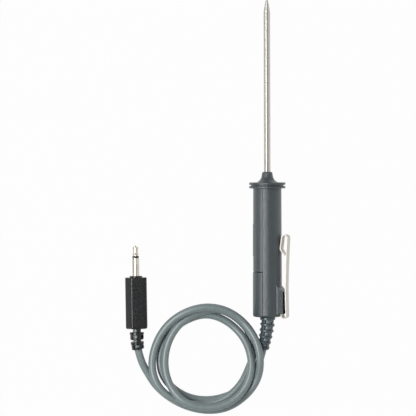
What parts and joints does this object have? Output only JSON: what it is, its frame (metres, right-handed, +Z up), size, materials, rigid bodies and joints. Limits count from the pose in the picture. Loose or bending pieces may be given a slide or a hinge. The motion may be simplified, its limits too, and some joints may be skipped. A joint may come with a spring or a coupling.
{
  "type": "temperature probe",
  "caption": "Pointed steel penetration probe with a ribbed-flange plastic grip, pocket clip, strain relief and a looped cable ending in a straight jack plug.",
  "frame": {"origin": "on the table, below the middle of the probe's box from the clip's rear bend to the tube's tip, without the cable, its relief and the plug", "axes": "+Y along the probe towards its tip, +Z up from the table it lies on, +X to the side of the pocket clip"},
  "size_m": [0.087, 0.2184, 0.0192],
  "materials": {
    "stainless_tube": "fine ground stainless steel",
    "clip_steel": "satin spring steel strip",
    "grip_plastic": "fine eroded texture, slate grey",
    "relief_plastic": "smooth flexible moulding, blue grey",
    "cable_jacket": "satin extruded jacket, grey",
    "plug_plastic": "coarse eroded texture, black",
    "ring_plastic": "black insulator ring",
    "nickel_contact": "bright nickel plate",
    "terminal_brass": "stamped brass",
    "bead_resin": "dipped resin bead",
    "liner_ptfe": "milky liner tube",
    "red_wire": "red insulated wire",
    "white_wire": "white insulated wire",
    "shrink_sleeve": "black shrink sleeve"
  },
  "bodies": {
    "root": {"probe_tube": "stainless_tube", "sensor_bead": "bead_resin", "sensor_lead_a": "red_wire", "sensor_lead_b": "white_wire", "insulating_sleeve": "liner_ptfe", "tube_collar": "stainless_tube", "handle_half_right": "grip_plastic", "handle_half_left": "grip_plastic", "rear_cover": "grip_plastic", "pocket_clip": "clip_steel", "strain_relief": "relief_plastic", "cable_clamp": "terminal_brass", "handle_core_a": "red_wire", "handle_core_b": "white_wire", "splice_sleeve_a": "shrink_sleeve", "splice_sleeve_b": "shrink_sleeve", "cable": "cable_jacket", "plug_body": "plug_plastic", "plug_sleeve": "nickel_contact", "plug_insulator": "ring_plastic", "plug_tip": "nickel_contact", "sleeve_terminal": "terminal_brass", "tip_terminal": "terminal_brass", "plug_core_a": "red_wire", "plug_core_b": "white_wire"}
  },
  "joints": []
}
